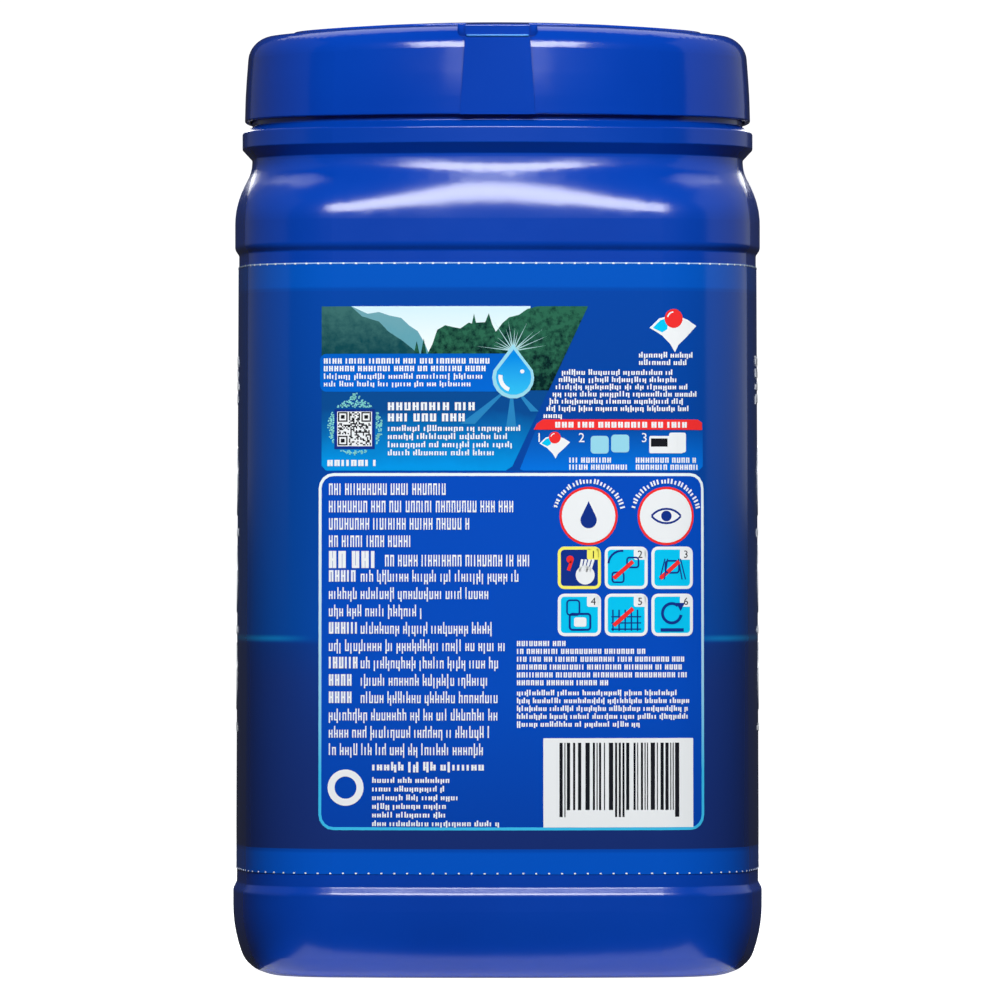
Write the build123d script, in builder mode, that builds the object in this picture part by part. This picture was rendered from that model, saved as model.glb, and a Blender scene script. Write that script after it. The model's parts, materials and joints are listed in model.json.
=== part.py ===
from build123d import *
import math
import os
import random

import numpy as np

# Dishwasher tablet tub: a blow-moulded rectangular jar with a push-fit closure,
# a lid flap on a film hinge at the back, a shrink sleeve label and the loose
# tablets inside. All sizes in millimetres. +X is the tub's width, +Z is up and
# -Y is the tub's back, where the hinge is. The base stands on Z = 0.

# overall sizes, measured at the widest bulge near the base
HALF_WIDTH = 65.4
HALF_DEPTH = 55.0
TOTAL_HEIGHT = 233.8

# body outline: four bowed faces and four round corners
FACE_BOW_RADIUS = 300.0
SIDE_BOW_RADIUS = 160.0
CORNER_RADIUS = 26.0

# neck and closure outline, rounder than the body, measured at the neck ring
UPPER_HALF_WIDTH = HALF_WIDTH - 2.3
UPPER_HALF_DEPTH = HALF_DEPTH - 1.4
UPPER_FACE_BOW_RADIUS = 105.0
UPPER_SIDE_BOW_RADIUS = 140.0
UPPER_CORNER_RADIUS = 36.0

# heights up the jar, the upper ones counted down from the top of the lid
FOOT_RADIUS = 7.2
BULGE_FOOT = 10.5
BULGE_TOP = 20.4
PANEL_BOTTOM = 22.8
PANEL_TOP = TOTAL_HEIGHT - 57.8
SHOULDER_BOTTOM = TOTAL_HEIGHT - 55.2
SHOULDER_START = TOTAL_HEIGHT - 49.5
GROOVE_BOTTOM = TOTAL_HEIGHT - 34.4
RING_FOOT = TOTAL_HEIGHT - 33.6
RING_BOTTOM = TOTAL_HEIGHT - 31.0
RING_TOP = TOTAL_HEIGHT - 27.2
RING_HEAD = TOTAL_HEIGHT - 25.6
NECK_STEP = TOTAL_HEIGHT - 23.8
NECK_TOP = TOTAL_HEIGHT - 10.8

# half widths up the jar, each a parallel inset of the body or neck outline
PANEL_LOW_HALF = HALF_WIDTH - 0.9
PANEL_HIGH_HALF = HALF_WIDTH - 1.5
SHOULDER_HALF = HALF_WIDTH - 0.5
GROOVE_HALF = UPPER_HALF_WIDTH - 2.4
RING_HALF = UPPER_HALF_WIDTH
NECK_HALF = UPPER_HALF_WIDTH - 2.5
FINISH_HALF = UPPER_HALF_WIDTH - 3.2
WALL = 1.05
SHOULDER_CREST = 0.68
SHOULDER_VALLEY = 0.72
SHOULDER_SECTIONS = 11
FOOT_OUTER_HALF = HALF_WIDTH - 8.8
FOOT_INNER_HALF = HALF_WIDTH - 14.8
PUSH_UP_HEIGHT = 3.0
PUSH_UP_HALF = HALF_WIDTH - 18.8
CORE_HALF = HALF_WIDTH - 21.0
BEAD_FOOT = TOTAL_HEIGHT - 20.4
BEAD_PROUD = 0.8

# shrink sleeve
SLEEVE_BOTTOM = PANEL_BOTTOM + 2.6
SLEEVE_TOP = PANEL_TOP - 2.3
SLEEVE_THICKNESS = 0.12
SLEEVE_GAP = 0.04

# closure
DOME_RADIUS = 560.0
DOME_FALL = DOME_RADIUS - math.sqrt(DOME_RADIUS ** 2 - UPPER_HALF_DEPTH ** 2)
LID_PROUD = 0.45
SKIRT_BOTTOM = TOTAL_HEIGHT - 24.3
SKIRT_WAIST = TOTAL_HEIGHT - 17.0
SKIRT_HIGH = TOTAL_HEIGHT - 7.8
SKIRT_LOW_HALF = UPPER_HALF_WIDTH - 0.6
SKIRT_WAIST_HALF = UPPER_HALF_WIDTH - 0.8
SKIRT_HIGH_HALF = UPPER_HALF_WIDTH - 1.5
SKIRT_WALL = 1.3
SHOULDER_ROUND = 6.0
DECK_THICKNESS = 1.6
RIM_GAP = 0.4
REBATE_HALF = UPPER_HALF_WIDTH - 12.1
REBATE_FLOOR = TOTAL_HEIGHT - 5.3
THROAT_HALF = UPPER_HALF_WIDTH - 17.1
THROAT_BOTTOM = TOTAL_HEIGHT - 14.0
THROAT_WALL = 1.2
LEDGE_THICKNESS = 1.5
EDGE_ROUND = 0.3

# lid flap
LID_HALF = REBATE_HALF - RIM_GAP
LID_PLATE = 1.5
LID_RIM_BOTTOM = REBATE_FLOOR + 0.3
LID_RIM_WALL = 1.4
PLUG_HALF = THROAT_HALF - 0.3
PLUG_WALL = 1.1
PLUG_BOTTOM = TOTAL_HEIGHT - 10.5
PLUG_DRAFT = 0.35

# hinge at the back
HINGE_PLANE = UPPER_HALF_DEPTH - 0.4
HINGE_FLOOR = TOTAL_HEIGHT - DOME_FALL - 2.829
HINGE_GAP = 0.35
STRAP_WIDTH = 15.5
NOTCH_WIDTH = STRAP_WIDTH + 3.9
NOTCH_CORNER = 1.3
HINGE_PAD_TOP_WIDTH = STRAP_WIDTH + 0.3
HINGE_PAD_BOTTOM_WIDTH = STRAP_WIDTH + 2.8

# thumb lip at the front
TONGUE_WIDTH = 27.0
TONGUE_NOTCH_WIDTH = TONGUE_WIDTH + 2.0
TONGUE_FLOOR = TOTAL_HEIGHT - DOME_FALL - 1.629
TONGUE_GAP = 0.4
LIP_BOTTOM = TONGUE_FLOOR - 2.4
LIP_INNER = UPPER_HALF_DEPTH - 0.8
LIP_OUTER = UPPER_HALF_DEPTH + 0.6

# tablets: square pillows with domed faces
TABLET_SIDE = 34.0
TABLET_CORNER = 7.0
TABLET_HALF_THICKNESS = 7.8
TABLET_FACE_RADIUS = 32.5
TABLET_COUNT = 75
LAYER_COUNT = 6
TABLET_GAP = 0.35

# an outline is its half width, half depth, face bow, side bow and corner radius
BODY = (HALF_WIDTH, HALF_DEPTH, FACE_BOW_RADIUS, SIDE_BOW_RADIUS, CORNER_RADIUS)
UPPER = (UPPER_HALF_WIDTH, UPPER_HALF_DEPTH, UPPER_FACE_BOW_RADIUS, UPPER_SIDE_BOW_RADIUS,
         UPPER_CORNER_RADIUS)


def inset(outline, half):
    """The parallel inset of an outline that has the given half width."""
    amount = outline[0] - half
    return tuple(value - amount for value in outline)


def plan_path(outline):
    """The closed wire of an outline: four bowed faces and four round corners."""
    a, b, face_bow, side_bow, r = outline
    # corner centre: where arcs of radius (bow - r) about both bow centres meet
    face_centre, side_centre = Vector(0, b - face_bow), Vector(a - side_bow, 0)
    across = side_centre - face_centre
    gap = across.length
    along = ((face_bow - r) ** 2 - (side_bow - r) ** 2 + gap ** 2) / (2 * gap)
    rise = math.sqrt((face_bow - r) ** 2 - along ** 2)
    unit = across.normalized()
    centre = face_centre + unit * along + Vector(unit.Y, -unit.X) * rise
    u_face = (centre - face_centre).normalized()
    u_side = (centre - side_centre).normalized()
    u_mid = (u_face + u_side).normalized()
    t_face = face_centre + u_face * face_bow
    t_side = side_centre + u_side * side_bow
    t_mid = centre + u_mid * r
    with BuildLine(Plane.XY) as path:
        ThreePointArc((-t_face.X, t_face.Y), (0, b), (t_face.X, t_face.Y))
        for sx, sy in ((1, 1), (1, -1), (-1, -1), (-1, 1)):
            ThreePointArc((sx * t_face.X, sy * t_face.Y), (sx * t_mid.X, sy * t_mid.Y),
                          (sx * t_side.X, sy * t_side.Y))
        ThreePointArc((t_side.X, t_side.Y), (a, 0), (t_side.X, -t_side.Y))
        ThreePointArc((t_face.X, -t_face.Y), (0, -b), (-t_face.X, -t_face.Y))
        ThreePointArc((-t_side.X, -t_side.Y), (-a, 0), (-t_side.X, t_side.Y))
    return path.wire()


def ring_around(outline, corners):
    """A closed section of (half width, height, corner radius) corners, swept
    all the way round the outline."""
    path = plan_path(outline)
    forward = path % 0
    outward = Vector(0, 0, 1).cross(forward)
    origin = path @ 0 - outward * outline[0]
    count = len(corners)
    with BuildPart() as ring:
        with BuildSketch(Plane(origin=origin, x_dir=outward, z_dir=forward)):
            with BuildLine():
                first = last = None
                for i in range(count):
                    p = Vector(corners[i][0], corners[i][1])
                    before = (Vector(*corners[i - 1][:2]) - p).normalized()
                    after = (Vector(*corners[(i + 1) % count][:2]) - p).normalized()
                    radius = corners[i][2]
                    start = end = p
                    if radius > 0:
                        angle = math.radians(before.get_angle(after))
                        reach = radius / math.tan(angle / 2)
                        start, end = p + before * reach, p + after * reach
                        middle = (before + after).normalized()
                        centre = p + middle * (radius / math.sin(angle / 2))
                        ThreePointArc(start, centre - middle * radius, end)
                    if last is not None and (start - last).length > 1e-6:
                        Line(last, start)
                    first = start if first is None else first
                    last = end
                Line(last, first)
            make_face()
        sweep(path=path, transition=Transition.TRANSFORMED)
    return ring.part


def slab(outline, low, high):
    """A straight prism on an outline."""
    with BuildPart() as prism:
        with BuildSketch(Plane.XY.offset(low)):
            with BuildLine():
                add(plan_path(outline))
            make_face()
        extrude(amount=high - low)
    return prism.part


def skin(outlines):
    """A smooth solid through (outline, height) sections."""
    with BuildPart() as body:
        for outline, height in outlines:
            with BuildSketch(Plane.XY.offset(height)):
                with BuildLine():
                    add(plan_path(outline))
                make_face()
        loft()
    return body.part


def dome(apex):
    """The shallow sphere that gives the closure its domed top."""
    with BuildPart() as ball:
        with Locations((0, 0, apex - DOME_RADIUS)):
            Sphere(DOME_RADIUS)
    return ball.part


def block(width, y0, y1, z0, z1):
    """A box centred on X = 0 between two depths and two heights."""
    with BuildPart() as box:
        with Locations((0, (y0 + y1) / 2, (z0 + z1) / 2)):
            Box(width, abs(y1 - y0), z1 - z0)
    return box.part


# ---------------------------------------------------------------- jar
# the shoulder turns from the body's outline to the rounder neck's while it
# closes in, slowly at first and then ever faster
def eased(share, start, end):
    """A line that stays at zero up to start and rises at one past the end."""
    if share <= start:
        return 0.0
    if share < end:
        return (share - start) ** 2 / (2 * (end - start))
    return share - (start + end) / 2


def shoulder_outline(share, wall):
    """The shoulder's outline at a share of its height, less a wall: it rolls
    over the crest and runs out hollow into the groove."""
    closed, whole = (eased(at, 0, SHOULDER_CREST) - eased(at, SHOULDER_VALLEY, 1) for at in (share, 1.0))
    closed /= whole
    low, high = inset(BODY, SHOULDER_HALF), inset(UPPER, GROOVE_HALF)
    size = [a + (b - a) * closed for a, b in zip(low[:2], high[:2])]
    curves = [1 / ((1 - closed) / a + closed / b) for a, b in zip(low[2:], high[2:])]
    return tuple(value - wall for value in size + curves)


def shoulder_skin(wall):
    shares = [i / (SHOULDER_SECTIONS - 1) for i in range(SHOULDER_SECTIONS)]
    rise = GROOVE_BOTTOM - SHOULDER_START
    return skin([(shoulder_outline(share, wall), SHOULDER_START + share * rise) for share in shares])


JAR_FLOOR = PUSH_UP_HEIGHT + WALL + 0.15

with BuildPart() as jar:
    # body wall from the standing ring up to the shoulder
    add(ring_around(BODY, [
        (CORE_HALF - 0.4, PUSH_UP_HEIGHT, 0),
        (PUSH_UP_HALF, PUSH_UP_HEIGHT, 1.6),
        (FOOT_INNER_HALF, 0, 2.0),
        (FOOT_OUTER_HALF + FOOT_RADIUS * 0.70, 0, FOOT_RADIUS * 0.995),
        (HALF_WIDTH, BULGE_FOOT, 34.0),
        (HALF_WIDTH, BULGE_TOP, 2.2),
        (PANEL_LOW_HALF, PANEL_BOTTOM - 0.6, 0.9),
        (PANEL_HIGH_HALF, PANEL_TOP + 0.6, 0.9),
        (SHOULDER_HALF, SHOULDER_BOTTOM - 0.6, 2.2),
        (SHOULDER_HALF, SHOULDER_START, 0),
        (SHOULDER_HALF - WALL, SHOULDER_START, 0),
        (SHOULDER_HALF - WALL, SHOULDER_BOTTOM - 0.2, 2.0),
        (PANEL_HIGH_HALF - WALL, PANEL_TOP + 0.4, 2.0),
        (PANEL_LOW_HALF - WALL, PANEL_BOTTOM - 0.8, 2.0),
        (HALF_WIDTH - WALL - 0.1, BULGE_TOP - 0.6, 2.0),
        (HALF_WIDTH - WALL - 0.1, BULGE_FOOT, 31.0),
        (FOOT_OUTER_HALF + FOOT_RADIUS * 0.70 - 1.0, WALL + 0.15, FOOT_RADIUS - 1.2),
        (FOOT_INNER_HALF + 0.4, WALL + 0.15, 2.4),
        (PUSH_UP_HALF + 0.4, JAR_FLOOR, 2.4),
        (CORE_HALF - 0.4, JAR_FLOOR, 0),
    ]))
    add(slab(inset(BODY, CORE_HALF), PUSH_UP_HEIGHT, JAR_FLOOR))
    # neck: groove, ring, and the finish that carries the closure's bead
    add(ring_around(UPPER, [
        (GROOVE_HALF, GROOVE_BOTTOM, 0),
        (GROOVE_HALF, RING_FOOT, 0.6),
        (RING_HALF, RING_BOTTOM, 0.5),
        (RING_HALF, RING_TOP, 0.5),
        (NECK_HALF, RING_HEAD, 0.3),
        (NECK_HALF, NECK_STEP, 0),
        (FINISH_HALF, NECK_STEP + 0.6, 0),
        (FINISH_HALF, BEAD_FOOT, 0.3),
        (FINISH_HALF + BEAD_PROUD, BEAD_FOOT + 0.8, 0.3),
        (FINISH_HALF + BEAD_PROUD, BEAD_FOOT + 1.8, 0.3),
        (FINISH_HALF, BEAD_FOOT + 3.2, 0.3),
        (FINISH_HALF, NECK_TOP, 0.4),
        (FINISH_HALF - 1.5, NECK_TOP, 0.4),
        (FINISH_HALF - 1.5, RING_HEAD + 1.2, 1.0),
        (RING_HALF - WALL - 0.2, RING_TOP - 0.2, 1.0),
        (RING_HALF - WALL - 0.2, RING_BOTTOM + 0.3, 1.0),
        (GROOVE_HALF - WALL, RING_FOOT - 0.4, 1.0),
        (GROOVE_HALF - WALL, GROOVE_BOTTOM, 0),
    ]))
    add(shoulder_skin(0))
    add(shoulder_skin(WALL), mode=Mode.SUBTRACT)
jar.part.label = "jar"


# ---------------------------------------------------------------- label sleeve
# a thin film that hugs the recessed panel all the way round
def panel_half(height):
    share = (height - PANEL_BOTTOM) / (PANEL_TOP - PANEL_BOTTOM)
    return PANEL_LOW_HALF + (PANEL_HIGH_HALF - PANEL_LOW_HALF) * share


with BuildPart() as label_sleeve:
    inner_low = panel_half(SLEEVE_BOTTOM) + SLEEVE_GAP
    inner_high = panel_half(SLEEVE_TOP) + SLEEVE_GAP
    add(ring_around(BODY, [
        (inner_low, SLEEVE_BOTTOM, 0),
        (inner_low + SLEEVE_THICKNESS, SLEEVE_BOTTOM, 0),
        (inner_high + SLEEVE_THICKNESS, SLEEVE_TOP, 0),
        (inner_high, SLEEVE_TOP, 0),
    ]))
label_sleeve.part.label = "label_sleeve"

# ---------------------------------------------------------------- closure collar
# outer block: tapered skirt under the domed top, its shoulder rounded over
DECK_APEX = TOTAL_HEIGHT - LID_PROUD
REBATE = inset(UPPER, REBATE_HALF)
THROAT = inset(UPPER, THROAT_HALF)


def closure_block(wall, low, apex, rounding):
    """Tapered skirt under a domed top with the edge between them rounded."""
    with BuildPart() as shape:
        add(ring_around(UPPER, [
            (CORE_HALF - 0.4, low, 0),
            (SKIRT_LOW_HALF - wall, low, 0.4),
            (SKIRT_WAIST_HALF - wall, SKIRT_WAIST, 120.0),
            (SKIRT_HIGH_HALF - wall, SKIRT_HIGH, 0),
            (SKIRT_HIGH_HALF - wall, apex + 2, 0),
            (CORE_HALF - 0.4, apex + 2, 0),
        ]))
        add(slab(inset(UPPER, CORE_HALF), low, apex + 2))
        add(dome(apex), mode=Mode.INTERSECT)
        fillet(shape.faces().filter_by(GeomType.SPHERE).edges(), rounding)
    return shape.part


envelope = closure_block(0, SKIRT_BOTTOM, DECK_APEX, SHOULDER_ROUND)
hollow = closure_block(SKIRT_WALL, SKIRT_BOTTOM - 1, DECK_APEX - DECK_THICKNESS, SHOULDER_ROUND - 1.2)

# what is added under the deck: the rebate that takes the lid's rim, the
# throat, the bead that seals on the jar's neck and the two hinge channels
with BuildPart() as under_deck:
    add(ring_around(UPPER, [
        (REBATE_HALF - 1, REBATE_FLOOR - LEDGE_THICKNESS, 0),
        (REBATE_HALF + 1.5, REBATE_FLOOR - LEDGE_THICKNESS, 1.0),
        (REBATE_HALF + 1.5, DECK_APEX, 0),
        (REBATE_HALF - 1, DECK_APEX, 0),
    ]))
    add(ring_around(UPPER, [
        (THROAT_HALF, THROAT_BOTTOM, 0.4),
        (THROAT_HALF + THROAT_WALL, THROAT_BOTTOM, 0.4),
        (THROAT_HALF + THROAT_WALL, REBATE_FLOOR - LEDGE_THICKNESS, 0),
        (REBATE_HALF, REBATE_FLOOR - LEDGE_THICKNESS, 0),
        (REBATE_HALF, REBATE_FLOOR, 0),
        (THROAT_HALF, REBATE_FLOOR, 0.4),
    ]))
    add(ring_around(UPPER, [
        (FINISH_HALF - 1.2, NECK_TOP, 0),
        (FINISH_HALF - 0.3, NECK_TOP, 0),
        (FINISH_HALF - 0.3, REBATE_FLOOR + 0.9, 0),
        (FINISH_HALF - 1.2, REBATE_FLOOR + 0.9, 0),
    ]))
    add(block(NOTCH_WIDTH + 3, -HINGE_PLANE + 0.4, -REBATE[1], HINGE_FLOOR - 1.6, DECK_APEX))
    add(block(TONGUE_NOTCH_WIDTH + 3, REBATE[1], UPPER_HALF_DEPTH - 2.0, TONGUE_FLOOR - 1.4, DECK_APEX))
    add(envelope, mode=Mode.INTERSECT)

with BuildPart() as closure_collar:
    add(envelope)
    add(hollow, mode=Mode.SUBTRACT)
    add(under_deck.part)
    # hook inside the skirt, under the neck's bead
    add(ring_around(UPPER, [
        (FINISH_HALF + 0.35, BEAD_FOOT - 1.4, 0.2),
        (SKIRT_LOW_HALF - 0.6, BEAD_FOOT - 2.4, 0),
        (SKIRT_LOW_HALF - 0.6, BEAD_FOOT - 0.4, 0),
        (FINISH_HALF + 0.35, BEAD_FOOT - 0.5, 0.2),
    ]))
    # flat hinge panel, a little proud of the bowed skirt
    with BuildSketch(Plane.XZ.offset(HINGE_PLANE)):
        Polygon((-HINGE_PAD_BOTTOM_WIDTH / 2, SKIRT_BOTTOM), (HINGE_PAD_BOTTOM_WIDTH / 2, SKIRT_BOTTOM),
                (HINGE_PAD_TOP_WIDTH / 2, HINGE_FLOOR), (-HINGE_PAD_TOP_WIDTH / 2, HINGE_FLOOR), align=None)
    extrude(amount=-1.5)
    add(block(HINGE_PAD_TOP_WIDTH, -HINGE_PLANE + 0.2, -HINGE_PLANE + 4, SKIRT_HIGH - 3, HINGE_FLOOR))
    # rebate and throat, then the notches for the hinge strap and the thumb tongue
    add(slab(REBATE, REBATE_FLOOR, TOTAL_HEIGHT + 2), mode=Mode.SUBTRACT)
    add(slab(THROAT, THROAT_BOTTOM - 3, TOTAL_HEIGHT + 2), mode=Mode.SUBTRACT)
    with BuildSketch(Plane.XZ.offset(UPPER_HALF_DEPTH + 6)):
        with Locations((0, HINGE_FLOOR + 6)):
            RectangleRounded(NOTCH_WIDTH, 12, NOTCH_CORNER)
    extrude(amount=-25, mode=Mode.SUBTRACT)
    add(block(TONGUE_NOTCH_WIDTH, 35, UPPER_HALF_DEPTH + 6, TONGUE_FLOOR, TOTAL_HEIGHT + 2), mode=Mode.SUBTRACT)
closure_collar.part.label = "closure_collar"

# ---------------------------------------------------------------- lid
# domed plate with a rim that drops into the rebate and a plug that drops
# into the throat; a strap runs back to the hinge, a tongue forward to the lip
with BuildPart() as under_lid:
    add(slab(inset(UPPER, LID_HALF - LID_RIM_WALL), LID_RIM_BOTTOM - 1, TOTAL_HEIGHT + 2))
    add(dome(TOTAL_HEIGHT - LID_PLATE), mode=Mode.INTERSECT)

with BuildPart() as plug:
    add(ring_around(UPPER, [
        (PLUG_HALF - PLUG_WALL, PLUG_BOTTOM, 0.3),
        (PLUG_HALF - PLUG_DRAFT, PLUG_BOTTOM, 0.3),
        (PLUG_HALF, PLUG_BOTTOM + 3.0, 0),
        (PLUG_HALF, TOTAL_HEIGHT, 0),
        (PLUG_HALF - PLUG_WALL, TOTAL_HEIGHT, 0),
    ]))
    add(dome(TOTAL_HEIGHT - LID_PLATE / 2), mode=Mode.INTERSECT)

with BuildPart() as lid:
    tongue_underside = TONGUE_FLOOR + TONGUE_GAP
    add(slab(inset(UPPER, LID_HALF), LID_RIM_BOTTOM, TOTAL_HEIGHT + 2))
    add(block(STRAP_WIDTH, -HINGE_PLANE, -35, HINGE_FLOOR + HINGE_GAP, TOTAL_HEIGHT + 2))
    add(block(TONGUE_WIDTH, 35, LIP_OUTER, tongue_underside, TOTAL_HEIGHT + 2))
    add(block(TONGUE_WIDTH, LIP_INNER, LIP_OUTER, LIP_BOTTOM, tongue_underside + 0.5))
    add(dome(TOTAL_HEIGHT), mode=Mode.INTERSECT)
    fillet(lid.faces().filter_by(GeomType.SPHERE).edges(), EDGE_ROUND)
    add(under_lid.part, mode=Mode.SUBTRACT)
    add(plug.part)
lid.part.label = "lid"

# ---------------------------------------------------------------- tablets
# one pillow-shaped tablet
with BuildPart() as tablet:
    with BuildSketch(Plane.XY.offset(-TABLET_HALF_THICKNESS)):
        RectangleRounded(TABLET_SIDE, TABLET_SIDE, TABLET_CORNER)
    extrude(amount=2 * TABLET_HALF_THICKNESS)
    for side in (-1, 1):
        with Locations((0, 0, side * (TABLET_HALF_THICKNESS - TABLET_FACE_RADIUS))):
            Sphere(TABLET_FACE_RADIUS, mode=Mode.INTERSECT)


def tablet_surface(swell):
    """Points over both domed faces of one tablet, swollen a little so that
    two tablets resting by these points keep a gap."""
    half = TABLET_SIDE / 2
    steps = np.linspace(-half, half, 40)
    x, y = [v.ravel() for v in np.meshgrid(steps, steps)]
    past_x = np.maximum(np.abs(x) - half + TABLET_CORNER, 0)
    past_y = np.maximum(np.abs(y) - half + TABLET_CORNER, 0)
    keep = np.hypot(past_x, past_y) <= TABLET_CORNER
    x, y = x[keep], y[keep]
    drop = TABLET_FACE_RADIUS - np.sqrt(TABLET_FACE_RADIUS ** 2 - x ** 2 - y ** 2)
    z = np.maximum(TABLET_HALF_THICKNESS - drop, 0.1)
    return swell * np.stack([np.concatenate([x, x]), np.concatenate([y, y]), np.concatenate([z, -z])])


def turned(yaw, tilt, lean):
    """Rotation matrix: lean about X, tilt about Y, then yaw about Z."""
    cx, sx = math.cos(lean), math.sin(lean)
    cy, sy = math.cos(tilt), math.sin(tilt)
    cz, sz = math.cos(yaw), math.sin(yaw)
    about_x = np.array([[1, 0, 0], [0, cx, -sx], [0, sx, cx]])
    about_y = np.array([[cy, 0, sy], [0, 1, 0], [-sy, 0, cy]])
    about_z = np.array([[cz, -sz, 0], [sz, cz, 0], [0, 0, 1]])
    return about_z @ about_y @ about_x


def fill_with_tablets():
    """Drop the tablets one by one onto a map of heights, one cell per
    millimetre. Each takes the lowest resting place of many trial places and
    then settles by small shifts and turns while they still bring it lower."""
    draw = random.Random(11)
    nx, ny = int(HALF_WIDTH) + 2, int(HALF_DEPTH) + 2
    gx, gy = np.meshgrid(np.arange(-nx, nx + 1), np.arange(-ny, ny + 1), indexing="ij")
    reach_x = PANEL_HIGH_HALF - WALL - 0.8
    reach_y = reach_x - HALF_WIDTH + HALF_DEPTH
    bow_x, bow_y = reach_x - SIDE_BOW_RADIUS, reach_y - FACE_BOW_RADIUS
    inside = np.hypot(np.abs(gx) - bow_x, gy) < SIDE_BOW_RADIUS
    inside &= np.hypot(gx, np.abs(gy) - bow_y) < FACE_BOW_RADIUS
    past_x = np.maximum(np.abs(gx) - (reach_x - 2.0 - CORNER_RADIUS), 0)
    past_y = np.maximum(np.abs(gy) - (reach_y - 2.0 - CORNER_RADIUS), 0)
    inside &= np.hypot(past_x, past_y) < CORNER_RADIUS + 4.0 * ((past_x == 0) | (past_y == 0))
    wall = 1e6
    level = np.where(inside, JAR_FLOOR + 0.45, wall)
    points = tablet_surface(1.02)

    def rest(px, py, yaw, tilt, lean):
        spin = turned(yaw, tilt, lean)
        body = spin @ points
        ix = np.rint(body[0] + px).astype(int) + nx
        iy = np.rint(body[1] + py).astype(int) + ny
        if ix.min() < 1 or iy.min() < 1 or ix.max() > 2 * nx - 1 or iy.max() > 2 * ny - 1:
            return None
        under = level[ix, iy]
        if under.max() >= wall:
            return None
        height = float(np.max(under - body[2])) + TABLET_GAP
        score = height + 0.5 * float(body[2].max())
        return score, height, (px, py, yaw, tilt, lean), spin, body, ix, iy

    placed = []
    for number in range(TABLET_COUNT):
        best = None
        for trial in range(160):
            tilt = draw.uniform(1.05, 1.57) if draw.random() < 0.2 else draw.gauss(0, 0.28)
            tried = rest(draw.uniform(10 - reach_x, reach_x - 10), draw.uniform(10 - reach_y, reach_y - 10),
                         draw.uniform(0, 2 * math.pi), tilt, draw.gauss(0, 0.2))
            if tried and (best is None or tried[0] < best[0]):
                best = tried
        for trial in range(140):
            size = 1.0 - 0.8 * trial / 140
            tried = rest(*[value + draw.gauss(0, spread * size)
                           for value, spread in zip(best[2], (4.0, 4.0, 0.25, 0.15, 0.15))])
            if tried and tried[0] < best[0]:
                best = tried
        score, height, pose, spin, body, ix, iy = best
        np.maximum.at(level, (ix, iy), body[2] + height)
        level[~inside] = wall
        placed.append((height, pose[0], pose[1], spin))
    return sorted(placed, key=lambda place: place[0])


places = fill_with_tablets()
layers = {}
per_layer = math.ceil(len(places) / LAYER_COUNT)
for layer in range(LAYER_COUNT):
    with BuildPart() as pile:
        for height, px, py, spin in places[layer * per_layer:(layer + 1) * per_layer]:
            where = Plane(origin=(px, py, height), x_dir=tuple(spin[:, 0]), z_dir=tuple(spin[:, 2]))
            with Locations(where.location):
                add(tablet.part)
    pile.part.label = "tablets_layer_%d" % (layer + 1)
    layers[pile.part.label] = pile

# ---------------------------------------------------------------- write
os.makedirs("parts", exist_ok=True)
export_step(jar.part, "parts/jar.step")
export_step(label_sleeve.part, "parts/label_sleeve.step")
export_step(closure_collar.part, "parts/closure_collar.step")
export_step(lid.part, "parts/lid.step")
for name, pile in layers.items():
    export_step(pile.part, "parts/%s.step" % name)
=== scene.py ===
import json
import math
import random

import bmesh
import bpy
import numpy as np
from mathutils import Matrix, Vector

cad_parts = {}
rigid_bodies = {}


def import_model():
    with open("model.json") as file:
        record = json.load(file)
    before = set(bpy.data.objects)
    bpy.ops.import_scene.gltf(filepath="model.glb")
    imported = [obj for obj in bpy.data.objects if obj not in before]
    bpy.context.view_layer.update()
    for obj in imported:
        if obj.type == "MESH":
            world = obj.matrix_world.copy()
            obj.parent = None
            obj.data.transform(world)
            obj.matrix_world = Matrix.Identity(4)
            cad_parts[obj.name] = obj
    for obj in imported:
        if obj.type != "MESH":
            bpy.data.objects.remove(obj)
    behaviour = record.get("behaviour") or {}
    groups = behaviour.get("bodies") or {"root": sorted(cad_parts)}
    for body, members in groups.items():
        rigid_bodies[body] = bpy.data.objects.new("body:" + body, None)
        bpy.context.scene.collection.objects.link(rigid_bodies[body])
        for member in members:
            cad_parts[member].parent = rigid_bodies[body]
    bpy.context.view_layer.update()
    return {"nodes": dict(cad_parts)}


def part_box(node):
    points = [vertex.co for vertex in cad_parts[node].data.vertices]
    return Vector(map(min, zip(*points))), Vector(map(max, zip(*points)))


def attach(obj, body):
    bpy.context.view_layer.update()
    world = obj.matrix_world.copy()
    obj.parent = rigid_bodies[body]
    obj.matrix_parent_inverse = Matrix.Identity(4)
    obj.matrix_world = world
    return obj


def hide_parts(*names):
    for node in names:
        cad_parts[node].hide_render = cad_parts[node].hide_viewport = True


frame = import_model()

# ---------------------------------------------------------------- jar
# Blow-moulded jar of glossy royal-blue polypropylene. The parison leaves a
# faint orange peel and slow waves in the wall, and the mould's two halves a
# fine parting line up both narrow sides and across the base.


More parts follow.
